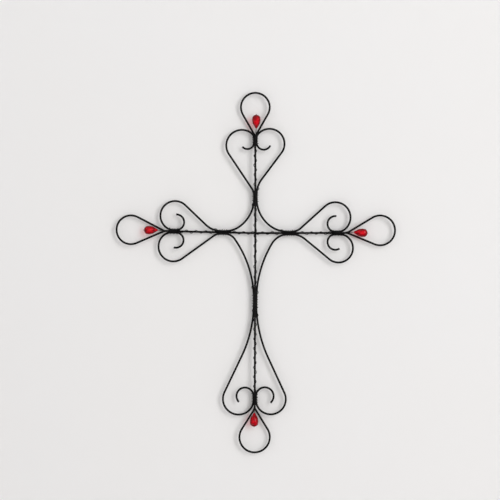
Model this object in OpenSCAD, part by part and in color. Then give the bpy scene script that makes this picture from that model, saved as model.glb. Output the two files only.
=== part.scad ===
// Wall cross of bent and bound wire, with a glass drop in each of its four eyes.
// Two stem wires cross; each ends in a drop-shaped eye. Four scroll wires lie between them.
// Each scroll is bound to a stem at two waists near the crossing and at two necks further out.
// X is to the right, Z is up and the front faces -Y. The origin is the inside of the top eye,
// where the nail bears.

/* [Wire] */
// Diameter of the frame wire
wire_d = 2; // [1.4:0.05:2.4]
// Diameter of the thin binding wire
binding_d = 0.6; // [0.5:0.05:0.9]
// Play between frame wires that are bound side by side
bundle_gap = 0.1; // [0.05:0.05:0.2]
// Play between the binding wire and the wires under it
wrap_gap = 0.08; // [0.04:0.02:0.2]
// Length of frame wire that lies straight under a waist coil
waist_straight = 3.4; // [2:0.2:6]
// Length of frame wire that lies straight under a neck coil
neck_straight = 4; // [2:0.5:6]
// Length of each stem's bent-back end under its neck coil, past the neck's middle
tail = 3; // [1:0.5:6]

/* [Head] */
// Direction of the head, in degrees from the right-hand side
head_angle = 90; // [89:0.1:91]
// Distance from the crossing to the middle of the head's waist
head_waist = 36.4; // [30:0.2:44]
// Distance from the crossing to the middle of the head's neck
head_neck = 92.6; // [76:0.2:111]
// Distance from the neck to where the eye's legs part
head_fork = 2.6; // [2:0.1:10]
// Distance from the neck to the far end of the eye
head_eye = 47.6; // [40:0.1:60]
// Radius of the eye's round end
head_eye_r = 14.4; // [11:0.1:18]
// Radius of the bend where each leg leaves the stem
head_leg_r = 6; // [4:0.5:14]
// Lean of the eye, in degrees
head_eye_lean = 0; // [-5:0.1:5]
// Length and turns of the coil round the waist
head_waist_coil = [10.5, 5]; // [2:0.5:16]
// Length and turns of the coil round the neck
head_neck_coil = [7, 4]; // [2:0.5:16]
// Left scroll's bend radii: waist, lobe, neck, curl
head_left_radii = [10.3, 15.6, 6.7, 6.6]; // [4:0.1:200]
// Left scroll's turns in degrees: lobe down to the neck bend, curl
head_left_turns = [52, 141]; // [10:1:250]
// Right scroll's bend radii: waist, lobe, neck, curl
head_right_radii = [26.5, 15, 7, 7.2]; // [4:0.1:200]
// Right scroll's turns in degrees: lobe down to the neck bend, curl
head_right_turns = [42, 156]; // [10:1:250]

/* [Left arm] */
// Direction of the left arm, in degrees from the right-hand side
left_angle = 178.7; // [177:0.1:182]
// Distance from the crossing to the middle of the arm's waist
left_waist = 32.6; // [27:0.2:40]
// Distance from the crossing to the middle of the arm's neck
left_neck = 81.2; // [70:0.2:98]
// Distance from the neck to where the eye's legs part
left_fork = 8.5; // [5:0.1:14]
// Distance from the neck to the far end of the eye
left_eye = 57.6; // [48:0.5:70]
// Radius of the eye's round end
left_eye_r = 14.4; // [11:0.1:18]
// Radius of the bend where each leg leaves the stem
left_leg_r = 5; // [4:0.5:14]
// Lean of the eye, in degrees
left_eye_lean = 0.8; // [-5:0.1:5]
// Length and turns of the coil round the waist
left_waist_coil = [9, 4]; // [2:0.5:16]
// Length and turns of the coil round the neck
left_neck_coil = [9.6, 6]; // [2:0.5:16]
// Upper scroll's bend radii: waist, lobe, neck, curl
left_upper_radii = [23, 14.7, 6.6, 7.8]; // [4:0.1:200]
// Upper scroll's turns in degrees: lobe down to the neck bend, curl
left_upper_turns = [19, 183]; // [10:1:250]
// Lower scroll's bend radii: waist, lobe, neck, curl
left_lower_radii = [11.9, 14.9, 13, 7.6]; // [4:0.1:200]
// Lower scroll's turns in degrees: lobe down to the neck bend, curl
left_lower_turns = [58, 196]; // [10:1:250]

/* [Right arm] */
// Direction of the right arm, in degrees from the right-hand side
right_angle = 0.1; // [-2:0.1:2]
// Distance from the crossing to the middle of the arm's waist
right_waist = 34.6; // [28:0.2:42]
// Distance from the crossing to the middle of the arm's neck
right_neck = 82; // [70:0.2:99]
// Distance from the neck to where the eye's legs part
right_fork = 7.5; // [5:0.1:14]
// Distance from the neck to the far end of the eye
right_eye = 57.8; // [48:0.5:70]
// Radius of the eye's round end
right_eye_r = 14.9; // [11:0.1:18]
// Radius of the bend where each leg leaves the stem
right_leg_r = 10.5; // [4:0.5:14]
// Lean of the eye, in degrees
right_eye_lean = -4; // [-5:0.1:5]
// Length and turns of the coil round the waist
right_waist_coil = [11, 5]; // [2:0.5:16]
// Length and turns of the coil round the neck
right_neck_coil = [9.6, 6]; // [2:0.5:16]
// Upper scroll's bend radii: waist, lobe, neck, curl
right_upper_radii = [13.6, 15.2, 6.5, 7.8]; // [4:0.1:200]
// Upper scroll's turns in degrees: lobe down to the neck bend, curl
right_upper_turns = [27, 189]; // [10:1:250]
// Lower scroll's bend radii: waist, lobe, neck, curl
right_lower_radii = [20.9, 14.4, 13.5, 7.8]; // [4:0.1:200]
// Lower scroll's turns in degrees: lobe down to the neck bend, curl
right_lower_turns = [62, 213]; // [10:1:250]

/* [Foot] */
// Direction of the foot, in degrees from the right-hand side
foot_angle = 269.8; // [269:0.1:271]
// Distance from the crossing to the middle of the foot's waist
foot_waist = 68.4; // [57:0.2:82]
// Distance from the crossing to the middle of the foot's neck
foot_neck = 165; // [150:0.5:198]
// Distance from the neck to where the eye's legs part
foot_fork = 8.7; // [5:0.1:14]
// Distance from the neck to the far end of the eye
foot_eye = 54.3; // [45:0.5:66]
// Radius of the eye's round end
foot_eye_r = 15.2; // [11:0.1:18]
// Radius of the bend where each leg leaves the stem
foot_leg_r = 6; // [4:0.5:14]
// Lean of the eye, in degrees
foot_eye_lean = 0; // [-5:0.1:5]
// Length and turns of the coil round the waist
foot_waist_coil = [13, 5]; // [2:0.5:24]
// Length and turns of the coil round the neck
foot_neck_coil = [9.6, 6]; // [2:0.5:16]
// Left scroll's bend radii: waist, lobe, neck, curl
foot_left_radii = [123.7, 15.6, 14.4, 8.5]; // [4:0.1:200]
// Left scroll's turns in degrees: lobe down to the neck bend, curl
foot_left_turns = [62, 225]; // [10:1:250]
// Right scroll's bend radii: waist, lobe, neck, curl
foot_right_radii = [129.5, 15.1, 13.9, 8.8]; // [4:0.1:200]
// Right scroll's turns in degrees: lobe down to the neck bend, curl
foot_right_turns = [48, 230]; // [10:1:250]

/* [Inner corners] */
// Share of the top left corner's bend that is beside the arm, against the part beside the stem
top_left_corner = 0.5; // [0.2:0.05:4]
// The same for the top right corner
top_right_corner = 1; // [0.2:0.05:4]
// The same for the bottom left corner
bottom_left_corner = 0.2; // [0.15:0.05:4]
// The same for the bottom right corner
bottom_right_corner = 0.35; // [0.15:0.05:4]

/* [Binding] */
// Length of stem to each turn of the open spiral
open_pitch = 10; // [6:0.5:16]
// Distance of the beads in front of the scrolls
bead_front = 1.5; // [0:0.1:2]

/* [Beads] */
// Length of a bead
bead_l = 13.5; // [10:0.5:16]
// Widest part of a bead, from flat to flat
bead_w = 8.3; // [6:0.1:9]
// Bore of a bead
bead_bore = 1.1; // [0.9:0.05:1.4]
// Facets round a bead
bead_sides = 8; // [6:1:12]
// Distance from each neck to its bead's pointed end: head, left, right, foot
bead_from_neck = [12, 16.4, 16.5, 14.8]; // [10:0.1:22]
// Sideways place of each bead's pointed end: head, left, right, foot
bead_aside = [1, 0.8, -0.7, 0.4]; // [-3:0.1:3]
// Lean of each bead in degrees: head, left, right, foot
bead_lean = [0, -1.3, 4, 1]; // [-10:0.5:10]

/* [Hidden] */

$fn = 32;
IRON = [0.09, 0.09, 0.1];
RED = [0.7, 0.03, 0.08];

// Bound frame wires lie nested: the stem in front or behind, a scroll on each side of it. The
// stem and a scroll are then one pitch apart, because 0.6 and 0.8 are the sides of a right
// triangle whose long side is 1.
pitch_of_wires = wire_d + bundle_gap;
stem_depth = 0.8 * pitch_of_wires;
nest = 0.6 * pitch_of_wires;

// Where one piece of a frame wire follows another, the wire is this much thicker all round, and
// each piece stops this far short of the joint.
knuckle = 0.04;
joint_gap = 0.1;

// What each arm is: the names are the places in its list.
ANGLE = 0;
WAIST = 1;
NECK = 2;
FORK = 3;
REACH = 4;
EYE_R = 5;
LEG_R = 6;
EYE_LEAN = 7;
WAIST_COIL = 8;
NECK_COIL = 9;
HEAD = [
    head_angle, head_waist, head_neck, head_neck + head_fork, head_neck + head_eye,
    head_eye_r, head_leg_r, head_eye_lean, head_waist_coil, head_neck_coil
];
LEFT = [
    left_angle, left_waist, left_neck, left_neck + left_fork, left_neck + left_eye,
    left_eye_r, left_leg_r, left_eye_lean, left_waist_coil, left_neck_coil
];
RIGHT = [
    right_angle, right_waist, right_neck, right_neck + right_fork, right_neck + right_eye,
    right_eye_r, right_leg_r, right_eye_lean, right_waist_coil, right_neck_coil
];
FOOT = [
    foot_angle, foot_waist, foot_neck, foot_neck + foot_fork, foot_neck + foot_eye,
    foot_eye_r, foot_leg_r, foot_eye_lean, foot_waist_coil, foot_neck_coil
];

// The places in a scroll's list of radii, and in its list of turns.
AT_WAIST = 0;
AT_LOBE = 1;
AT_NECK = 2;
AT_CURL = 3;
LOBE_TURN = 0;
CURL_TURN = 1;

// A scroll lies on the side of its arm that is clockwise of it, or the other.
CLOCKWISE = 1;
COUNTER = -1;

// ---- Plane geometry, in the cross's own plane, measured from the crossing ----

function polar(v) = atan2(v.y, v.x);
function toward(angle) = [cos(angle), sin(angle)];
function short_way(angle) = angle - 360 * round(angle / 360);

// A point given across and along an arm, in the cross's plane.
function place(arm, side, p) = p.y * toward(arm[ANGLE]) + side * p.x * toward(arm[ANGLE] - 90);

// A bend is a centre, a radius and the angles at its two ends. A straight run is its two ends.
function place_bend(arm, side, centre, r, from, to) = [
    place(arm, side, centre), r,
    arm[ANGLE] - side * 90 + side * from, arm[ANGLE] - side * 90 + side * to
];

// The bend that leaves p in the direction t and reaches q.
function bend_through(p, t, q) = let(
    across = [-t.y, t.x],
    chord = q - p,
    r = chord * chord / (2 * (chord * across)),
    centre = p + r * across,
    from = polar(p - centre)
) [centre, abs(r), from, from + short_way(polar(q - centre) - from)];

// Two bends that run smoothly from p in the direction t to q in the direction s.
// The second one's tangent at its end is share times as long as the first one's at its start.
function corner_bends(p, t, q, s, share) = let(
    chord = q - p,
    turned = 1 - t * s,
    b = chord * t + share * (chord * s),
    first = (sqrt(b * b + 2 * share * turned * (chord * chord)) - b) / (2 * share * turned),
    middle = (share * (p + first * t) + q - share * first * s) / (1 + share)
) concat([bend_through(p, t, middle)], turned_round([bend_through(q, s, middle)]));

// The angle on the first circle at which a straight run leaves it to pass between two circles
// and join the second one on its far side.
function crossing_angle(c0, r0, c1, r1) = polar(c1 - c0) + acos((r0 + r1) / norm(c1 - c0));

// One end of a scroll, from its waist out to the tip of its curl.
function scroll_end(arm, side, radii, turns) = let(
    half_waist = waist_straight / 2,
    half_neck = neck_straight / 2,
    waist_c = [nest + radii[AT_WAIST], arm[WAIST] + half_waist],
    neck_c = [nest + radii[AT_NECK], arm[NECK] + half_neck],
    curl_c = [nest + radii[AT_CURL], arm[NECK] - half_neck],
    neck_end = 180 - turns[LOBE_TURN],
    lobe_c = neck_c - (radii[AT_LOBE] - radii[AT_NECK]) * toward(neck_end),
    leave = crossing_angle(waist_c, radii[AT_WAIST], lobe_c, radii[AT_LOBE])
) [
    [place(arm, side, [nest, arm[WAIST] - half_waist]),
     place(arm, side, [nest, arm[WAIST] + half_waist])],
    place_bend(arm, side, waist_c, radii[AT_WAIST], 180, leave),
    [place(arm, side, waist_c + radii[AT_WAIST] * toward(leave)),
     place(arm, side, lobe_c - radii[AT_LOBE] * toward(leave))],
    place_bend(arm, side, lobe_c, radii[AT_LOBE], leave - 180, neck_end),
    place_bend(arm, side, neck_c, radii[AT_NECK], neck_end, 180),
    [place(arm, side, [nest, arm[NECK] + half_neck]),
     place(arm, side, [nest, arm[NECK] - half_neck])],
    place_bend(arm, side, curl_c, radii[AT_CURL], 180, 180 + turns[CURL_TURN])
];

// The same pieces, followed the other way.
function turned_round(pieces) = [
    for (i = [len(pieces) - 1 : -1 : 0]) let(piece = pieces[i])
        len(piece) == 2 ? [piece[1], piece[0]] : [piece[0], piece[1], piece[3], piece[2]]
];
function start_of(piece) = len(piece) == 2 ? piece[0] : piece[0] + piece[1] * toward(piece[2]);

// The two bends of an inner corner, from a stem's waist round to an arm's waist.
function inner_corner(stem, stem_side, arm, arm_side, share) = let(
    half_waist = waist_straight / 2
) corner_bends(
    place(stem, stem_side, [nest, stem[WAIST] - half_waist]), -toward(stem[ANGLE]),
    place(arm, arm_side, [nest, arm[WAIST] - half_waist]), toward(arm[ANGLE]), share);

TOP_LEFT = inner_corner(HEAD, COUNTER, LEFT, CLOCKWISE, top_left_corner);
TOP_RIGHT = inner_corner(HEAD, CLOCKWISE, RIGHT, COUNTER, top_right_corner);
BOTTOM_LEFT = inner_corner(FOOT, CLOCKWISE, LEFT, COUNTER, bottom_left_corner);
BOTTOM_RIGHT = inner_corner(FOOT, COUNTER, RIGHT, CLOCKWISE, bottom_right_corner);

// The nail bears on the inside of the head's eye, at its highest point.
function eye_centre(arm) = let(
    fork = arm[FORK] * toward(arm[ANGLE])
) fork + (arm[REACH] - arm[EYE_R] - arm[FORK]) * toward(arm[ANGLE] - arm[EYE_LEAN]);
NAIL = eye_centre(HEAD) + [0, head_eye_r - wire_d / 2];

// ---- Where the binding wire runs ----

STEPS = 10;          // points to a turn
SIDES = 5;           // sides of the thin wire
LEAD_STEPS = 6;      // points between a neck coil and its bead
wrap_r = ((wire_d + binding_d) / 2 + wrap_gap) / cos(180 / STEPS);
// A scroll that is nearer to its stem than this, sideways, leaves the thin wire no way between.
free_way = sqrt((wire_d + binding_d + 2 * wrap_gap) ^ 2 - stem_depth ^ 2);

// How far a wire has bent away sideways, some way along a bend of radius r.
function bent_away(r, along) = along <= 0 ? 0 : along >= r ? r : r - sqrt(r * r - along * along);

// The radii with which an arm's two scrolls leave it: inside the waist, outside the waist,
// inside the neck, outside the neck.
function flare(corner, radii) = [corner[1], radii[AT_WAIST], radii[AT_CURL], radii[AT_NECK]];
HEAD_FLARES = [flare(TOP_LEFT[0], head_left_radii), flare(TOP_RIGHT[0], head_right_radii)];
FOOT_FLARES = [flare(BOTTOM_RIGHT[0], foot_right_radii), flare(BOTTOM_LEFT[0], foot_left_radii)];
LEFT_FLARES = [flare(BOTTOM_LEFT[1], left_lower_radii), flare(TOP_LEFT[1], left_upper_radii)];
RIGHT_FLARES = [flare(TOP_RIGHT[1], right_upper_radii), flare(BOTTOM_RIGHT[1], right_lower_radii)];

// How far to the side a scroll's centre line is, some way along its arm.
function scroll_aside(arm, radii, along) = let(
    from_waist = along - arm[WAIST],
    from_neck = along - arm[NECK]
) nest + min(
    bent_away(radii[from_waist < 0 ? 0 : 1], abs(from_waist) - waist_straight / 2),
    bent_away(radii[from_neck < 0 ? 2 : 3], abs(from_neck) - neck_straight / 2));

// How far along its arm the thin wire has come after each number of turns. Its neck coil ends in
// front of the cross, which is half a turn on where the stem is behind.
function turns_along(arm, extra_turn) = let(
    waist_from = arm[WAIST] - arm[WAIST_COIL][0] / 2,
    waist_to = arm[WAIST] + arm[WAIST_COIL][0] / 2,
    neck_from = arm[NECK] - arm[NECK_COIL][0] / 2,
    neck_to = arm[NECK] + arm[NECK_COIL][0] / 2,
    t1 = max(1, round(waist_from / open_pitch)),
    t2 = t1 + arm[WAIST_COIL][1],
    t3 = t2 + max(1, round((neck_from - waist_to) / open_pitch)),
    t4 = t3 + arm[NECK_COIL][1] + extra_turn
) [[0, 0], [t1, waist_from], [t2, waist_to], [t3, neck_from], [t4, neck_to]];

// The thin wire's place after some turns: across the arm, out of its plane, along it.
// It lies against whatever it is wound round there, like a string round posts.
function wound(arm, flares, stations, turn) = let(
    along = lookup(turn, stations),
    counter_near = scroll_aside(arm, flares[0], lookup(floor(turn) + 0.75, stations)),
    clockwise_near = scroll_aside(arm, flares[1], lookup(floor(turn) + 0.25, stations)),
    posts = concat(
        [[0, -stem_depth]],
        counter_near < free_way ? [[-scroll_aside(arm, flares[0], along), 0]] : [],
        clockwise_near < free_way ? [[scroll_aside(arm, flares[1], along), 0]] : [],
        lookup(floor(turn) + 0.5, stations) > arm[NECK] - tail ? [[0, stem_depth]] : []),
    out = [sin(360 * turn), -cos(360 * turn)],
    furthest = max([for (post = posts) post * out]),
    held_by = [for (post = posts) if (post * out == furthest) post][0]
) [held_by.x + wrap_r * out.x, held_by.y + wrap_r * out.y, along];

// The thin wire along one arm, from the crossing out through its bead.
// stem_front is 1 where the arm's stem is in front, or -1 where it is behind.
function binding_path(arm, flares, bead, stem_front) = let(
    stations = turns_along(arm, stem_front > 0 ? 0 : 0.5),
    last_turn = stations[len(stations) - 1][0],
    coil_end = wound(arm, flares, stations, last_turn),
    tip = [bead_aside[bead], -stem_front * bead_front, arm[NECK] + bead_from_neck[bead]],
    through = bead_l * [sin(bead_lean[bead]), 0, cos(bead_lean[bead])]
) concat(
    [for (i = [0 : last_turn * STEPS]) wound(arm, flares, stations, i / STEPS)],
    [for (i = [1 : LEAD_STEPS]) let(part = i / LEAD_STEPS) [
        coil_end.x + (tip.x - coil_end.x) * part,
        coil_end.y + (tip.y - coil_end.y) * part ^ 4,
        coil_end.z + (tip.z - coil_end.z) * part
    ]],
    [tip + through * 1.04]);

// A path given across, out of the plane and along an arm, turned into X, Y and Z.
function placed_path(arm, path, stem_front) = [
    for (p = path) let(q = place(arm, CLOCKWISE, [p.x, p.z])) [q.x, stem_front * p.y, q.y]
];

function reversed(list) = [for (i = [len(list) - 1 : -1 : 0]) list[i]];
function without_first(list) = [for (i = [1 : len(list) - 1]) list[i]];
function unit(v) = v / norm(v);

VERTICAL_PATH = concat(
    reversed(placed_path(FOOT, binding_path(FOOT, FOOT_FLARES, 3, 1), 1)),
    without_first(placed_path(HEAD, binding_path(HEAD, HEAD_FLARES, 0, 1), 1)));
HORIZONTAL_PATH = concat(
    reversed(placed_path(LEFT, binding_path(LEFT, LEFT_FLARES, 1, -1), -1)),
    without_first(placed_path(RIGHT, binding_path(RIGHT, RIGHT_FLARES, 2, -1), -1)));

// ---- Shapes ----

// A solid skinned over rings of points, each with the same number of points.
module skin(rings) {
    count = len(rings[0]);
    last = len(rings) - 1;
    polyhedron(
        points = [for (ring = rings) each ring],
        faces = concat(
            [[for (j = [0 : count - 1]) j]],
            [for (i = [0 : last - 1]) for (j = [0 : count - 1]) let(
                a = i * count + j,
                b = i * count + (j + 1) % count
            ) each [[a, a + count, b + count], [a, b + count, b]]],
            [[for (j = [count - 1 : -1 : 0]) last * count + j]]));
}

// A thin wire swept along a path, its rings carried along without twisting.
module thin_wire(path) {
    last = len(path) - 1;
    headings = [for (i = [0 : last]) unit(path[min(i + 1, last)] - path[max(i - 1, 0)])];
    first_across = unit(cross(headings[0], [0, 1, 0]));
    acrosses = [
        for (
            i = 0, v = first_across;
            i <= last;
            i = i + 1, v = i > last ? v : unit(v - (v * headings[i]) * headings[i])
        ) v
    ];
    skin([for (i = [0 : last]) let(up = cross(headings[i], acrosses[i])) [
        for (j = [0 : SIDES - 1]) let(turn = 360 * j / SIDES)
            path[i] + binding_d / 2 * (cos(turn) * acrosses[i] + sin(turn) * up)
    ]]);
}

module ball() {
    sphere(d = wire_d + 2 * knuckle);
}

module straight_run(p, q) {
    translate([p.x, 0, p.y]) rotate([0, 90 - polar(q - p), 0])
        translate([0, 0, joint_gap]) cylinder(d = wire_d, h = norm(q - p) - 2 * joint_gap);
}

module bend(centre, r, from, to) {
    short_of = joint_gap / r * 180 / PI;
    translate([centre.x, 0, centre.y]) rotate([90, 0, 0])
        rotate_extrude(start = min(from, to) + short_of, angle = abs(to - from) - 2 * short_of, $fn = 180)
            translate([r, 0]) circle(d = wire_d);
}

// Frame wire that follows a list of bends and straight runs in the plane. Each piece stops just
// short of its ends, and a ball the least bit thicker than the wire joins it to the next.
module bent_wire(pieces, first_ball = false) {
    for (i = [0 : len(pieces) - 1]) {
        piece = pieces[i];
        if (len(piece) == 2) {
            straight_run(piece[0], piece[1]);
        } else {
            bend(piece[0], piece[1], piece[2], piece[3]);
        }
        if (i > 0 || first_ball) {
            start = start_of(piece);
            translate([start.x, 0, start.y]) ball();
        }
    }
}

module scroll(stem_end, corner, arm_end) {
    color(IRON) translate([-NAIL.x, 0, -NAIL.y])
        bent_wire(concat(turned_round(stem_end), corner, arm_end));
}

// Half of an eye, from its fork to its far end, for a stem that is stem_depth in front of the
// plane. It slopes back so that the far end lies in the plane, where the two halves meet.
module eye_half(arm) {
    length = arm[REACH] - arm[FORK];
    eye_c = [0, norm([length, stem_depth]) - arm[EYE_R]];
    leg_c = [arm[LEG_R], 0];
    leave = crossing_angle(leg_c, arm[LEG_R], eye_c, arm[EYE_R]);
    translate([0, -stem_depth, 0]) rotate([-atan2(stem_depth, length), 0, 0])
        bent_wire([
            [leg_c, arm[LEG_R], 180, leave],
            [leg_c + arm[LEG_R] * toward(leave), eye_c - arm[EYE_R] * toward(leave)],
            [eye_c, arm[EYE_R], leave - 180, 90]
        ], true);
}

// One arm of a stem wire: out along the stem, round the eye and back under the neck coil.
module stem_arm(arm) {
    rotate([0, 90 - arm[ANGLE], 0]) {
        translate([0, -stem_depth, 0]) straight_run([0, 0], [0, arm[FORK]]);
        translate([0, stem_depth, 0]) straight_run([0, arm[NECK] - tail], [0, arm[FORK]]);
        translate([0, 0, arm[FORK]]) rotate([0, arm[EYE_LEAN], 0]) {
            eye_half(arm);
            rotate([0, 0, 180]) eye_half(arm);
            translate([0, 0, arm[REACH] - arm[FORK]]) ball();
        }
    }
}

// A whole stem wire, its two arms joined at the crossing.
module stem_wire(arm, other) {
    stem_arm(arm);
    stem_arm(other);
    translate([0, -stem_depth, 0]) rotate([0, 90 - arm[ANGLE], 0]) ball();
}

module vertical_wire() {
    color(IRON) translate([-NAIL.x, 0, -NAIL.y]) stem_wire(HEAD, FOOT);
}

module horizontal_wire() {
    color(IRON) translate([-NAIL.x, 0, -NAIL.y]) mirror([0, 1, 0]) stem_wire(LEFT, RIGHT);
}

module scroll_top_left() {
    scroll(scroll_end(HEAD, COUNTER, head_left_radii, head_left_turns), TOP_LEFT,
        scroll_end(LEFT, CLOCKWISE, left_upper_radii, left_upper_turns));
}

module scroll_top_right() {
    scroll(scroll_end(HEAD, CLOCKWISE, head_right_radii, head_right_turns), TOP_RIGHT,
        scroll_end(RIGHT, COUNTER, right_upper_radii, right_upper_turns));
}

module scroll_bottom_left() {
    scroll(scroll_end(FOOT, CLOCKWISE, foot_left_radii, foot_left_turns), BOTTOM_LEFT,
        scroll_end(LEFT, COUNTER, left_lower_radii, left_lower_turns));
}

module scroll_bottom_right() {
    scroll(scroll_end(FOOT, COUNTER, foot_right_radii, foot_right_turns), BOTTOM_RIGHT,
        scroll_end(RIGHT, CLOCKWISE, right_lower_radii, right_lower_turns));
}

module vertical_binding() {
    color(IRON) translate([-NAIL.x, 0, -NAIL.y]) thin_wire(VERTICAL_PATH);
}

module horizontal_binding() {
    color(IRON) translate([-NAIL.x, 0, -NAIL.y]) thin_wire(HORIZONTAL_PATH);
}

// A faceted drop, pointed end down, drilled from end to end.
module drop() {
    lip_r = bead_bore / 2 + 0.3;
    corner_r = bead_w / 2 / cos(180 / bead_sides);
    rows = [0, 45, 75, 105, 135, 160, 180];
    difference() {
        skin([for (i = [0 : len(rows) - 1]) let(
            a = rows[i],
            // 0.82 is the most that the two sines come to.
            r = max(lip_r, corner_r * sin(a) ^ 0.8 * sin(a / 2) ^ 0.75 / 0.82)
        ) [for (j = [0 : bead_sides - 1]) let(turn = 360 * (j + (i % 2) / 2) / bead_sides)
            [r * cos(turn), r * sin(turn), bead_l * (1 - cos(a)) / 2]]]);
        translate([0, 0, -1]) cylinder(d = bead_bore, h = bead_l + 2);
    }
}

module bead(arm, index) {
    color(RED) translate([-NAIL.x, 0, -NAIL.y]) rotate([0, 90 - arm[ANGLE], 0])
        translate([bead_aside[index], -bead_front, arm[NECK] + bead_from_neck[index]])
            rotate([0, bead_lean[index], 0]) drop();
}

module bead_top() {
    bead(HEAD, 0);
}

module bead_left() {
    bead(LEFT, 1);
}

module bead_right() {
    bead(RIGHT, 2);
}

module bead_bottom() {
    bead(FOOT, 3);
}

vertical_wire();
horizontal_wire();
scroll_top_left();
scroll_top_right();
scroll_bottom_left();
scroll_bottom_right();
vertical_binding();
horizontal_binding();
bead_top();
bead_left();
bead_right();
bead_bottom();
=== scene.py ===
import math

import bpy
from bpy.props import (
    FloatProperty,
    FloatVectorProperty,
    IntProperty,
    PointerProperty,
)
from mathutils import Matrix, Vector


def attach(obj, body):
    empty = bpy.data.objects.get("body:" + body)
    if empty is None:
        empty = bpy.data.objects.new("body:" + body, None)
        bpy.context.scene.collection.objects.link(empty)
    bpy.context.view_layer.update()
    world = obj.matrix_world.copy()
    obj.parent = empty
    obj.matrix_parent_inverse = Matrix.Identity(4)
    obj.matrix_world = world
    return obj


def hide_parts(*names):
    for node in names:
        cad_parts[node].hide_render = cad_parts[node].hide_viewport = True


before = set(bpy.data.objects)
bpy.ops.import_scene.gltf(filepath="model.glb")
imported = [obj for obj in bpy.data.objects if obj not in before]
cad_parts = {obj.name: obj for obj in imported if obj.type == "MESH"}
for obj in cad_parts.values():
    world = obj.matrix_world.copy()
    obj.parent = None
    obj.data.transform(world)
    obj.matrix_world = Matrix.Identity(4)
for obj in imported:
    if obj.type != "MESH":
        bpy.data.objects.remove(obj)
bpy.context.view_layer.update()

bl_info = {
    "name": "Wire Wall Cross",
    "version": (1, 0, 0),
    "blender": (4, 5, 0),
    "location": "3D View > Sidebar > Wire Cross",
    "description": "Dresses a wall cross of bent, bound black wire with red glass drops",
    "category": "Object",
}

# ---- Sizes of the cross, in millimetres and degrees, as in its construction ----

MM = 0.001
FRAME_WIRE = 2.0          # diameter of the six frame wires
BUNDLE_GAP = 0.1          # play between frame wires bound side by side
WAIST_STRAIGHT = 3.4      # frame wire that lies straight under a waist coil
NECK_STRAIGHT = 4.0       # frame wire that lies straight under a neck coil
TAIL = 3.0                # a stem's bent-back end under its neck coil, past the neck's middle
OPEN_PITCH = 10.0         # stem to each turn of the open spiral
BEAD_FRONT = 1.5          # the beads' distance in front of the scrolls
BEAD_LENGTH = 13.5
LEAD_POINTS = 24          # points of the thin wire between a neck coil and its bead
END_BEND = 0.62           # radius with which the thin wire is bent over past its bead
END_TAIL = 0.5            # what is left of it past that bend
SLACK = 0.3               # the most that a slack turn of the thin wire stands off
SLACK_RHYTHM = 2.6        # radians of the slack's swell to each turn
LIP = 0.3                 # glass round the bore where a drop is narrowest
POLISH = 0.13             # width of the softened edges between facets

STEM_DEPTH = 0.8 * (FRAME_WIRE + BUNDLE_GAP)
NEST = 0.6 * (FRAME_WIRE + BUNDLE_GAP)
CROSSING = -139.2         # height of the crossing, below the nail

CLOCKWISE = 1             # the side of its arm that a scroll lies on, from the front
COUNTER = -1

# ---- The stage, in metres ----

VIEW_MIDDLE = Vector((-0.0053, 0, -0.156125))
VIEW_WIDTH = 0.5
SENSOR_WIDTH = 36         # millimetres
LAMP_AWAY = 4.0
KEY_SIZE = 1.7, 3.6
KEY_FROM = Vector((0.72, -1.0, 0.22))
FILL_SIZE = 4.0, 4.0
FILL_FROM = Vector((-0.6, -1.3, 0.2))
FILL_SHARE = 0.12         # of the key light's power
ROOM_LIGHT = 0.5          # strength with which the room lights the cross
WALL_SIZE = 2.4, 1.5
WALL_ABOVE = 0.45         # the wall's middle above the view's middle
FLOOR_SIZE = 4
FLOOR_HEIGHT = -0.46


class Arm:
    """One of the cross's four arms: where its coils and its bead are."""

    def __init__(self, angle, waist, neck, waist_coil, neck_coil, bead, stem_front):
        self.angle = angle
        self.waist = waist
        self.neck = neck
        self.waist_coil = waist_coil        # length and turns
        self.neck_coil = neck_coil          # length and turns
        self.bead_from_neck, self.bead_aside, self.bead_lean = bead
        self.stem_front = stem_front        # 1 where its stem is in front, -1 behind
        self.flares = None                  # bends with which its two scrolls leave it

    def place(self, side, across, along):
        """A point in the cross's plane, from its distances across and along the arm."""
        return along * toward(self.angle) + side * across * toward(self.angle - 90)

    def matrix(self):
        """Turns a shape built upwards from the crossing into its place on this arm."""
        return Matrix.Translation((0, 0, CROSSING)) @ turn_y(90 - self.angle)


def toward(angle):
    return Vector((math.cos(math.radians(angle)), math.sin(math.radians(angle))))


def turn_y(angle):
    return Matrix.Rotation(math.radians(angle), 4, "Y")


HEAD = Arm(90, 36.4, 92.6, (10.5, 5), (7, 4), (12, 1.0, 0), 1)
LEFT = Arm(178.7, 32.6, 81.2, (9, 4), (9.6, 6), (16.4, 0.8, -1.3), -1)
RIGHT = Arm(0.1, 34.6, 82, (11, 5), (9.6, 6), (16.5, -0.7, 4), -1)
FOOT = Arm(269.8, 68.4, 165, (13, 5), (9.6, 6), (14.8, 0.4, 1), 1)


def bend_radius(start, heading, end):
    """Radius of the bend that leaves start in one direction and reaches end."""
    chord = end - start
    return abs(chord.length_squared / (2 * chord.dot(Vector((-heading.y, heading.x)))))


def corner_radii(stem, stem_side, arm, arm_side, share):
    """Radii of an inner corner's two bends, beside the stem and beside the arm."""
    half = WAIST_STRAIGHT / 2
    p, t = stem.place(stem_side, NEST, stem.waist - half), -toward(stem.angle)
    q, s = arm.place(arm_side, NEST, arm.waist - half), toward(arm.angle)
    chord, turned = q - p, 1 - t.dot(s)
    b = chord.dot(t) + share * chord.dot(s)
    root = math.sqrt(b * b + 2 * share * turned * chord.length_squared)
    first = (root - b) / (2 * share * turned)
    middle = (share * (p + first * t) + q - share * first * s) / (1 + share)
    return bend_radius(p, t, middle), bend_radius(q, s, middle)


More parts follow.
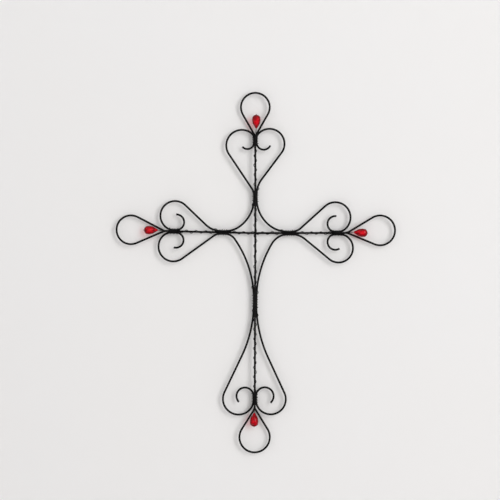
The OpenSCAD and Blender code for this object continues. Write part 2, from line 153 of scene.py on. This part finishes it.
TOP_LEFT = corner_radii(HEAD, COUNTER, LEFT, CLOCKWISE, 0.5)
TOP_RIGHT = corner_radii(HEAD, CLOCKWISE, RIGHT, COUNTER, 1)
BOTTOM_LEFT = corner_radii(FOOT, CLOCKWISE, LEFT, COUNTER, 0.2)
BOTTOM_RIGHT = corner_radii(FOOT, COUNTER, RIGHT, CLOCKWISE, 0.35)

# Each arm's two scrolls, counter-clockwise one first. Their bends' radii are inside the waist,
# outside the waist, inside the neck and outside the neck.
HEAD.flares = (TOP_LEFT[0], 10.3, 6.6, 6.7), (TOP_RIGHT[0], 26.5, 7.2, 7)
FOOT.flares = (BOTTOM_RIGHT[0], 129.5, 8.8, 13.9), (BOTTOM_LEFT[0], 123.7, 8.5, 14.4)
LEFT.flares = (BOTTOM_LEFT[1], 11.9, 7.6, 13), (TOP_LEFT[1], 23, 7.8, 6.6)
RIGHT.flares = (TOP_RIGHT[1], 13.6, 7.8, 6.5), (BOTTOM_RIGHT[1], 20.9, 7.8, 13.5)


# ---- Where the binding wire runs ----

def bent_away(radius, along):
    """How far a wire has bent away sideways, some way along a bend."""
    along = min(max(along, 0), radius)
    return radius - math.sqrt(radius * radius - along * along)


def scroll_aside(arm, radii, along):
    """How far to the side a scroll's centre line is, some way along its arm."""
    from_waist, from_neck = along - arm.waist, along - arm.neck
    at_waist = radii[0 if from_waist < 0 else 1]
    at_neck = radii[2 if from_neck < 0 else 3]
    return NEST + min(
        bent_away(at_waist, abs(from_waist) - WAIST_STRAIGHT / 2),
        bent_away(at_neck, abs(from_neck) - NECK_STRAIGHT / 2),
    )


def turns_along(arm):
    """Numbers of turns, each with how far along its arm the thin wire has then come."""
    waist_from = arm.waist - arm.waist_coil[0] / 2
    waist_to = arm.waist + arm.waist_coil[0] / 2
    neck_from = arm.neck - arm.neck_coil[0] / 2
    neck_to = arm.neck + arm.neck_coil[0] / 2
    t1 = max(1, round(waist_from / OPEN_PITCH))
    t2 = t1 + arm.waist_coil[1]
    t3 = t2 + max(1, round((neck_from - waist_to) / OPEN_PITCH))
    # The coil ends in front of the cross: half a turn further on where the stem is behind.
    t4 = t3 + arm.neck_coil[1] + (0 if arm.stem_front > 0 else 0.5)
    return [(0, 0), (t1, waist_from), (t2, waist_to), (t3, neck_from), (t4, neck_to)]


def along_at(stations, turn):
    for (t0, a0), (t1, a1) in zip(stations, stations[1:]):
        if turn <= t1:
            return a0 + (a1 - a0) * (turn - t0) / (t1 - t0)
    return stations[-1][1]


def wound(arm, stations, turn, thin_wire, play):
    """The thin wire's place after some turns, lying against the wires under it."""
    free_way = math.sqrt((FRAME_WIRE + thin_wire + 2 * play) ** 2 - STEM_DEPTH ** 2)
    wrap_radius = (FRAME_WIRE + thin_wire) / 2 + play
    along = along_at(stations, turn)
    whole = math.floor(turn)
    posts = [Vector((0, -STEM_DEPTH))]
    # The thin wire passes a side's scroll three quarters or one quarter of a turn on.
    for side, share in ((-1, 0.75), (1, 0.25)):
        radii = arm.flares[0 if side < 0 else 1]
        if scroll_aside(arm, radii, along_at(stations, whole + share)) < free_way:
            posts.append(Vector((side * scroll_aside(arm, radii, along), 0)))
    # Half a turn on, it passes over the stem's bent-back end, where there is one.
    if along_at(stations, whole + 0.5) > arm.neck - TAIL:
        posts.append(Vector((0, STEM_DEPTH)))
    out = Vector((math.sin(math.tau * turn), -math.cos(math.tau * turn)))
    held_by = max(posts, key=out.dot)
    # Wound by hand: every few turns, one stands off a little.
    slack = SLACK * max(0, math.sin(SLACK_RHYTHM * turn + arm.waist))
    return Vector((*(held_by + (wrap_radius + slack) * out), along))


def binding_path(arm, thin_wire, play, steps):
    """The thin wire along one arm, from the crossing out through its bead."""
    stations = turns_along(arm)
    last = stations[-1][0]
    path = [
        wound(arm, stations, i / steps, thin_wire, play)
        for i in range(int(last * steps) + 1)
    ]
    start = path[-1]
    tip = Vector((arm.bead_aside, -arm.stem_front * BEAD_FRONT, arm.neck + arm.bead_from_neck))
    heading = turn_y(arm.bead_lean) @ Vector((0, 0, 1))
    for i in range(1, LEAD_POINTS + 1):
        part = i / LEAD_POINTS
        path.append(Vector((
            start.x + (tip.x - start.x) * part,
            start.y + (tip.y - start.y) * part ** 4,
            start.z + (tip.z - start.z) * part,
        )))
    path += [tip + BEAD_LENGTH * heading * part for part in (0.25, 0.5, 0.75, 1.0)]
    # Past the bead the end is bent over to the back, so that the bead can't slip off.
    end = path[-1]
    back = Vector((0, arm.stem_front, 0))
    for i in range(1, 7):
        swing = math.radians(15 * i)
        path.append(
            end + END_BEND * (math.sin(swing) * heading + (1 - math.cos(swing)) * back))
    path.append(path[-1] + END_TAIL * back)
    return path


def placed(arm, path):
    """A path across, out of the plane and along an arm, turned into its place, in metres."""
    matrix = arm.matrix()
    return [
        MM * (matrix @ Vector((p.x, arm.stem_front * p.y, p.z)))
        for p in path
    ]


# ---- Shader maths ----

class Value:
    """A node's output. Arithmetic on it adds Math nodes."""

    def __init__(self, finish, socket):
        self.finish = finish
        self.socket = socket

    def maths(self, operation, *values):
        inputs = {i: v for i, v in enumerate(values)}
        return self.finish.node("ShaderNodeMath", {"operation": operation}, inputs)

    def __add__(self, other):
        return self.maths("ADD", self, other)

    def __radd__(self, other):
        return self.maths("ADD", other, self)

    def __sub__(self, other):
        return self.maths("SUBTRACT", self, other)

    def __rsub__(self, other):
        return self.maths("SUBTRACT", other, self)

    def __mul__(self, other):
        return self.maths("MULTIPLY", self, other)

    def __rmul__(self, other):
        return self.maths("MULTIPLY", other, self)


class Finish:
    """The nodes of a material or a world, added by Python expressions."""

    def __init__(self, owner):
        self.owner = owner
        owner.use_nodes = True
        self.tree = owner.node_tree
        self.tree.nodes.clear()

    def node(self, kind, settings=None, inputs=None, output=0):
        """Adds a node: its settings first, then its sockets' values or links.

        Gives the named output, or nothing where the node has none.
        """
        node = self.tree.nodes.new(kind)
        for name, value in (settings or {}).items():
            if name == "stops":
                ramp = node.color_ramp.elements
                while len(ramp) < len(value):
                    ramp.new(1)
                for stop, (position, level) in zip(ramp, value):
                    stop.position = position
                    stop.color = (level, level, level, 1)
            else:
                setattr(node, name, value)
        for name, value in (inputs or {}).items():
            if isinstance(value, Value):
                self.tree.links.new(value.socket, node.inputs[name])
            else:
                node.inputs[name].default_value = value
        return Value(self, node.outputs[output]) if node.outputs else None

    def place(self):
        return self.node("ShaderNodeTexCoord", output="Object")

    def noise(self, where, scale, detail=2, roughness=0.5):
        return self.node("ShaderNodeTexNoise", None, {
            "Vector": where, "Scale": scale, "Detail": detail, "Roughness": roughness,
        }, "Fac")

    def ramp(self, value, *stops):
        return self.node("ShaderNodeValToRGB", {"stops": stops}, {"Fac": value})

    def mix(self, share, first, second):
        """A colour between two colours."""
        return self.node(
            "ShaderNodeMix", {"data_type": "RGBA"}, {0: share, 6: first, 7: second}, 2)

    def bump(self, height, distance, strength):
        return self.node("ShaderNodeBump", None, {
            "Height": height, "Distance": distance, "Strength": strength,
        })

    def principled(self, inputs):
        return self.node("ShaderNodeBsdfPrincipled", None, inputs)

    def mix_shaders(self, share, first, second):
        return self.node("ShaderNodeMixShader", None, {0: share, 1: first, 2: second})

    def end_with(self, shader, kind="ShaderNodeOutputMaterial"):
        """Shows a shader as the surface, and gives the finished material or world."""
        self.node(kind, None, {"Surface": shader})
        return self.owner


def black_wire(name, scale, colours):
    """Black annealed iron: dark scale, a little brown bloom, and rubbed high spots."""
    finish = Finish(bpy.data.materials.new(name))
    where = finish.place()
    clouds = finish.noise(where, 160 * scale, 3)
    mottle = finish.noise(where, 700 * scale, 4, 0.6)
    grain = finish.noise(where, 4200 * scale, 3, 0.65)
    bloom = finish.ramp(clouds * 0.55 + mottle * 0.45, (0.46, 0), (0.62, 1))
    rubbed = finish.ramp(clouds * 0.4 + mottle * 0.3 + grain * 0.3, (0.5, 0), (0.6, 1))
    colour = finish.mix(bloom * 0.8, (*colours.scale_colour, 1), (*colours.bloom_colour, 1))
    colour = finish.mix(rubbed * 0.55, colour, (*colours.rubbed_colour, 1))
    return finish.end_with(finish.principled({
        "Base Color": colour,
        "Metallic": rubbed * 0.6,
        "Roughness": 0.44 + mottle * 0.18 - rubbed * 0.14,
        "Specular IOR Level": 0.10,
        "Normal": finish.bump(grain * 0.6 + mottle * 0.4, 0.00004, 0.5),
    }))


def red_glass(name, colour):
    """Red glass, mottled bright and deep, with painted shade darkening its colour where it turns
    away, and faintly worn.
    """
    finish = Finish(bpy.data.materials.new(name))
    where = finish.place()
    swirl = finish.noise(where, 300, 2)
    wear = finish.noise(where, 1500, 3, 0.6)
    deep = tuple(0.35 * part for part in colour)
    painted_rim_shade = tuple(0.25 * part for part in colour)
    body = finish.mix(finish.ramp(swirl, (0.38, 0), (0.56, 1)), (*deep, 1), (*colour, 1))
    # Painted shade: the colour darkens towards the rim, where the surface turns away from the view.
    edge = finish.node("ShaderNodeLayerWeight", None, {"Blend": 0.5}, "Facing")
    glass = finish.principled({
        "Base Color": finish.mix(finish.ramp(edge, (0.03, 0), (0.42, 1)), body, (*painted_rim_shade, 1)),
        "Roughness": 0.03 + finish.ramp(wear, (0.5, 0), (0.75, 1)) * 0.08,
        "Transmission Weight": 0.25,
        "Specular IOR Level": 0.05,
        "IOR": 1.45,
        "Normal": finish.bump(swirl, 0.00006, 0.25),
    })
    # Lamp light passes through and comes out pink.
    passed = finish.node("ShaderNodeBsdfTransparent", None, {"Color": (1, 0.5, 0.54, 1)})
    to_lamp = finish.node("ShaderNodeLightPath", output="Is Shadow Ray")
    return finish.end_with(finish.mix_shaders(to_lamp * 0.8, glass, passed))


# ---- Modelling ----

def clear_selection():
    if bpy.context.object and bpy.context.object.mode != "OBJECT":
        bpy.ops.object.mode_set(mode="OBJECT")
    bpy.ops.object.select_all(action="DESELECT")


def work_on(piece):
    clear_selection()
    piece.select_set(True)
    bpy.context.view_layer.objects.active = piece


def fix_place(piece):
    """Leaves a piece's object at the origin, with its place in its mesh."""
    work_on(piece)
    bpy.ops.object.transform_apply(location=True, rotation=True, scale=True)


def dress(piece, material):
    piece.data.materials.clear()
    piece.data.materials.append(material)


def thin_wire_piece(name, path, diameter):
    """A round wire along a path, as one closed mesh."""
    curve = bpy.data.curves.new(name, "CURVE")
    curve.dimensions = "3D"
    curve.bevel_depth = diameter / 2
    curve.bevel_resolution = 2
    curve.use_fill_caps = True
    spline = curve.splines.new("POLY")
    spline.points.add(len(path) - 1)
    for point, p in zip(spline.points, path):
        point.co = (*p, 1)
    piece = bpy.data.objects.new(name, curve)
    bpy.context.scene.collection.objects.link(piece)
    work_on(piece)
    bpy.ops.object.convert(target="MESH")
    bpy.ops.object.mode_set(mode="EDIT")
    bpy.ops.mesh.select_all(action="SELECT")
    bpy.ops.mesh.remove_doubles(threshold=1e-7)
    bpy.ops.mesh.normals_make_consistent(inside=False)
    bpy.ops.object.mode_set(mode="OBJECT")
    bpy.ops.object.shade_smooth_by_angle(angle=math.radians(50))
    return piece


def select_faces(piece, wanted):
    """Selects the faces that a test picks out, in edit mode's face select."""
    bpy.ops.object.mode_set(mode="OBJECT")
    for face in piece.data.polygons:
        face.select = wanted(face)
    for edge in piece.data.edges:
        edge.select = False
    for vertex in piece.data.vertices:
        vertex.select = False
    bpy.ops.object.mode_set(mode="EDIT")
    bpy.ops.mesh.select_mode(type="FACE")


def glass_drop(length, width, facets, bore):
    """A faceted glass drop, pointed end at the origin and pointing down, bored through."""
    rows = (45, 75, 105, 135, 160, 180)
    widest = 0.82             # the most that the outline's two sines come to
    corner = width / 2 / math.cos(math.pi / facets)
    lip = bore / 2 + LIP * MM

    def row_radius(angle):
        a = math.radians(angle)
        outline = max(math.sin(a), 0) ** 0.8 * math.sin(a / 2) ** 0.75
        return max(lip, corner * outline / widest)

    def row_height(angle):
        return length * (1 - math.cos(math.radians(angle))) / 2

    clear_selection()
    bpy.ops.mesh.primitive_cylinder_add(
        vertices=facets, radius=lip, depth=row_height(rows[0]),
        location=(0, 0, row_height(rows[0]) / 2), end_fill_type="NGON")
    piece = bpy.context.object
    fix_place(piece)

    # The first row is widened and turned by half a facet, and each next row is drawn out of it.
    centre = Vector((0, 0, 0))
    half_facet = math.pi / facets
    radius, height = lip, row_height(rows[0])
    select_faces(piece, lambda face: face.normal.z > 0.9)
    for number, angle in enumerate(rows):
        if number:
            rise = row_height(angle) - height
            bpy.ops.mesh.extrude_region_move(
                TRANSFORM_OT_translate={"value": (0, 0, rise)})
            height += rise
        grow = row_radius(angle) / radius
        centre.z = height
        bpy.ops.transform.resize(value=(grow, grow, 1), center_override=centre)
        bpy.ops.transform.rotate(
            value=half_facet, orient_axis="Z", center_override=centre)
        radius = row_radius(angle)
    bpy.ops.mesh.select_all(action="SELECT")
    bpy.ops.mesh.normals_make_consistent(inside=False)

    # Both ends are inset to the bore, and the bore is bridged from end to end.
    bpy.ops.object.mode_set(mode="OBJECT")
    select_faces(piece, lambda face: len(face.vertices) == facets)
    bpy.ops.mesh.inset(thickness=lip - bore / 2)
    bpy.ops.mesh.bridge_edge_loops()
    bpy.ops.mesh.select_all(action="SELECT")
    bpy.ops.mesh.quads_convert_to_tris(quad_method="SHORTEST_DIAGONAL")
    bpy.ops.mesh.normals_make_consistent(inside=False)
    bpy.ops.object.mode_set(mode="OBJECT")

    bevel = piece.modifiers.new("Fire polish", "BEVEL")
    bevel.width = POLISH * MM
    bevel.segments = 2
    bevel.limit_method = "ANGLE"
    bevel.angle_limit = math.radians(9)
    work_on(piece)
    bpy.ops.object.modifier_apply(modifier=bevel.name)
    bpy.ops.object.shade_smooth_by_angle(angle=math.radians(12))
    return piece


# ---- What a user may change ----

class WireSettings(bpy.types.PropertyGroup):
    """Finish of the black wire, and how the thin wire is wound."""

    binding_diameter: FloatProperty(
        name="Binding wire", description="Diameter of the thin binding wire",
        default=0.6 * MM, min=0.5 * MM, max=0.9 * MM, unit="LENGTH", precision=5)
    play: FloatProperty(
        name="Play", description="Play between the binding wire and the wires under it",
        default=0.06 * MM, min=0.02 * MM, max=0.2 * MM, unit="LENGTH", precision=5)
    steps: IntProperty(
        name="Steps to a turn", description="Points of the binding wire's path to each turn",
        default=28, min=12, max=64)
    scale_colour: FloatVectorProperty(
        name="Scale", description="Colour of the black annealing scale",
        default=(0.0018, 0.0018, 0.0022), subtype="COLOR", size=3, min=0, max=1)
    bloom_colour: FloatVectorProperty(
        name="Bloom", description="Colour of the faint brown bloom on the scale",
        default=(0.006, 0.0045, 0.004), subtype="COLOR", size=3, min=0, max=1)
    rubbed_colour: FloatVectorProperty(
        name="Rubbed", description="Colour where the scale is rubbed thin",
        default=(0.012, 0.012, 0.013), subtype="COLOR", size=3, min=0, max=1)


class DropSettings(bpy.types.PropertyGroup):
    """Cut and colour of the glass drops."""

    width: FloatProperty(
        name="Width", description="Widest part of a drop, from flat to flat",
        default=8.3 * MM, min=6 * MM, max=9 * MM, unit="LENGTH", precision=4)
    bore: FloatProperty(
        name="Bore", description="Bore of a drop",
        default=1.1 * MM, min=0.9 * MM, max=1.4 * MM, unit="LENGTH", precision=5)
    facets: IntProperty(
        name="Facets", description="Facets round a drop", default=8, min=6, max=12)
    glass_colour: FloatVectorProperty(
        name="Glass", description="Colour of the glass",
        default=(0.85, 0.0012, 0.014), subtype="COLOR", size=3, min=0, max=1)


class StageSettings(bpy.types.PropertyGroup):
    """Backdrop, light and camera."""

    wall_gap: FloatProperty(
        name="Wall", description="Distance of the backdrop behind the scrolls",
        default=5.4 * MM, min=3.5 * MM, max=50 * MM, unit="LENGTH", precision=4)
    pale: FloatVectorProperty(
        name="Backdrop", description="Colour of the floor and backdrop",
        default=(0.90, 0.892, 0.894), subtype="COLOR", size=3, min=0, max=1)
    key: FloatProperty(
        name="Key light", description="Power of the key light, in watts",
        default=84.0, min=0, max=1000)
    lens: FloatProperty(
        name="Lens", description="Focal length of the camera", default=100.0, min=20, max=300,
        unit="CAMERA")


# ---- One operator for each group of pieces ----

class FinishFrameWires(bpy.types.Operator):
    """Gives the two stem wires and four scrolls their black annealed finish"""

    bl_idname = "wire_cross.finish_frame_wires"
    bl_label = "Finish the frame wires"

    def execute(self, context):
        material = black_wire("Black frame wire", 1.0, context.scene.cross_wire)
        for name in (
            "vertical_wire", "horizontal_wire", "scroll_top_left", "scroll_top_right",
            "scroll_bottom_left", "scroll_bottom_right",
        ):
            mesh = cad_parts[name].data
            if not mesh.materials:
                mesh.materials.append(material)
            for index in range(len(mesh.materials)):
                mesh.materials[index] = material
        return {"FINISHED"}


class WindBindingWires(bpy.types.Operator):
    """Winds the two thin wires round the stems and coils, out through the beads"""

    bl_idname = "wire_cross.wind_binding_wires"
    bl_label = "Wind the binding wires"

    def execute(self, context):
        wire = context.scene.cross_wire
        diameter, play = wire.binding_diameter / MM, wire.play / MM
        material = black_wire("Black binding wire", 1.7, wire)
        for name, node, first, second in (
            ("vertical_winding", "vertical_binding", FOOT, HEAD),
            ("horizontal_winding", "horizontal_binding", LEFT, RIGHT),
        ):
            halves = [
                placed(arm, binding_path(arm, diameter, play, wire.steps))
                for arm in (first, second)
            ]
            path = halves[0][::-1] + halves[1][1:]
            piece = thin_wire_piece(name, path, wire.binding_diameter)
            dress(piece, material)
            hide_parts(node)
            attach(piece, "root")
        return {"FINISHED"}


class ThreadGlassDrops(bpy.types.Operator):
    """Cuts one faceted glass drop and threads a copy of it on each arm's wire"""

    bl_idname = "wire_cross.thread_glass_drops"
    bl_label = "Thread the glass drops"

    def execute(self, context):
        drop = context.scene.cross_drop
        material = red_glass("Deep red glass", tuple(drop.glass_colour))
        first = glass_drop(BEAD_LENGTH * MM, drop.width, drop.facets, drop.bore)
        for name, arm in (("top", HEAD), ("left", LEFT), ("right", RIGHT), ("bottom", FOOT)):
            piece = bpy.data.objects.new("glass_drop_" + name, first.data.copy())
            context.scene.collection.objects.link(piece)
            tip = Matrix.Translation((
                arm.bead_aside, -BEAD_FRONT, arm.neck + arm.bead_from_neck))
            where = arm.matrix() @ tip @ turn_y(arm.bead_lean)
            where.translation *= MM
            piece.matrix_world = where
            fix_place(piece)
            dress(piece, material)
            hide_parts("bead_" + name)
            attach(piece, "root")
        bpy.data.objects.remove(first)
        return {"FINISHED"}


class SetStage(bpy.types.Operator):
    """Sets a pale backdrop and floor, a tall soft light from the right, and the camera"""

    bl_idname = "wire_cross.set_stage"
    bl_label = "Set the stage"

    def execute(self, context):
        stage = context.scene.cross_stage
        self.backdrop(stage)
        self.floor(stage)
        self.world(context, stage)
        self.light(context, "Key", stage.key, KEY_SIZE, KEY_FROM)
        self.light(context, "Fill", stage.key * FILL_SHARE, FILL_SIZE, FILL_FROM)
        self.camera(context, stage.lens)
        context.scene.view_settings.view_transform = "Standard"
        return {"FINISHED"}

    def plain(self, name, stage, one_sided):
        """A pale matt finish. One-sided, it isn't seen from behind and stops no light."""
        finish = Finish(bpy.data.materials.new(name))
        where = finish.place()
        tone = finish.noise(where, 6, 3)
        tooth = finish.noise(where, 900, 2)
        pale = tuple(stage.pale)
        warm = (pale[0], pale[1] * 0.992, pale[2] * 0.975)
        shader = finish.principled({
            "Base Color": finish.mix(tone, (*pale, 1), (*warm, 1)),
            "Roughness": 0.75,
            "Specular IOR Level": 0.2,
            "Normal": finish.bump(tooth, 0.00003, 0.3),
        })
        if one_sided:
            behind = finish.node("ShaderNodeNewGeometry", output="Backfacing")
            clear = finish.node("ShaderNodeBsdfTransparent")
            shader = finish.mix_shaders(behind, shader, clear)
        return finish.end_with(shader)

    def backdrop(self, stage):
        clear_selection()
        bpy.ops.mesh.primitive_plane_add(size=1)
        wall = bpy.context.object
        wall.name = "Backdrop"
        wall.rotation_euler = (math.radians(90), 0, 0)
        wall.scale = (*WALL_SIZE, 1)
        wall.location = (VIEW_MIDDLE.x, stage.wall_gap, VIEW_MIDDLE.z + WALL_ABOVE)
        fix_place(wall)
        wall.data.materials.append(self.plain("Pale backdrop", stage, True))

    def floor(self, stage):
        clear_selection()
        bpy.ops.mesh.primitive_plane_add(size=FLOOR_SIZE, location=(0, 0, FLOOR_HEIGHT))
        floor = bpy.context.object
        floor.name = "Floor"
        fix_place(floor)
        floor.data.materials.append(self.plain("Pale floor", stage, False))

    def world(self, context, stage):
        """Lights the cross evenly, and looks pale to the camera, in glass and in gloss."""
        finish = Finish(bpy.data.worlds.new("Pale room"))
        to_camera = finish.node("ShaderNodeLightPath", output="Is Camera Ray")
        through = finish.node("ShaderNodeLightPath", output="Is Transmission Ray")
        in_gloss = finish.node("ShaderNodeLightPath", output="Is Glossy Ray")
        seen = to_camera.maths("MAXIMUM", to_camera, through)
        seen = seen.maths("MAXIMUM", seen, in_gloss)
        room = finish.node("ShaderNodeBackground", None, {
            "Color": (1, 1, 1, 1), "Strength": ROOM_LIGHT,
        })
        pale = finish.node("ShaderNodeBackground", None, {
            "Color": (*stage.pale, 1), "Strength": 1.0,
        })
        context.scene.world = finish.end_with(
            finish.mix_shaders(seen, room, pale), "ShaderNodeOutputWorld")

    def light(self, context, name, power, size, direction):
        lamp = bpy.data.lights.new(name, "AREA")
        lamp.shape = "RECTANGLE"
        lamp.size, lamp.size_y = size
        lamp.energy = power
        holder = bpy.data.objects.new(name, lamp)
        context.scene.collection.objects.link(holder)
        holder.location = VIEW_MIDDLE + LAMP_AWAY * direction.normalized()
        to_cross = VIEW_MIDDLE - holder.location
        holder.rotation_euler = to_cross.to_track_quat("-Z", "Y").to_euler()

    def camera(self, context, lens):
        eye = bpy.data.cameras.new("Camera")
        eye.lens = lens
        eye.sensor_width = SENSOR_WIDTH
        holder = bpy.data.objects.new("Camera", eye)
        context.scene.collection.objects.link(holder)
        away = VIEW_WIDTH * lens / SENSOR_WIDTH
        holder.location = VIEW_MIDDLE - Vector((0, away, 0))
        holder.rotation_euler = (math.radians(90), 0, 0)
        context.scene.camera = holder


class WireCrossPanel(bpy.types.Panel):
    """Steps that dress the cross, in order"""

    bl_idname = "VIEW3D_PT_wire_cross"
    bl_label = "Wire wall cross"
    bl_space_type = "VIEW_3D"
    bl_region_type = "UI"
    bl_category = "Wire Cross"

    def draw(self, context):
        layout = self.layout
        scene = context.scene
        for group, names, step in (
            (scene.cross_wire, ("scale_colour", "bloom_colour", "rubbed_colour"), FinishFrameWires),
            (scene.cross_wire, ("binding_diameter", "play", "steps"), WindBindingWires),
            (scene.cross_drop, ("width", "bore", "facets", "glass_colour"), ThreadGlassDrops),
            (scene.cross_stage, ("wall_gap", "pale", "key", "lens"), SetStage),
        ):
            box = layout.box()
            for name in names:
                box.prop(group, name)
            box.operator(step.bl_idname)


CLASSES = (
    WireSettings, DropSettings, StageSettings,
    FinishFrameWires, WindBindingWires, ThreadGlassDrops, SetStage, WireCrossPanel,
)


def register():
    for kind in CLASSES:
        bpy.utils.register_class(kind)
    bpy.types.Scene.cross_wire = PointerProperty(type=WireSettings)
    bpy.types.Scene.cross_drop = PointerProperty(type=DropSettings)
    bpy.types.Scene.cross_stage = PointerProperty(type=StageSettings)


def unregister():
    del bpy.types.Scene.cross_stage
    del bpy.types.Scene.cross_drop
    del bpy.types.Scene.cross_wire
    for kind in reversed(CLASSES):
        bpy.utils.unregister_class(kind)


def main():
    register()
    bpy.ops.wire_cross.finish_frame_wires()
    bpy.ops.wire_cross.wind_binding_wires()
    bpy.ops.wire_cross.thread_glass_drops()
    bpy.ops.wire_cross.set_stage()


if __name__ == "__main__":
    main()
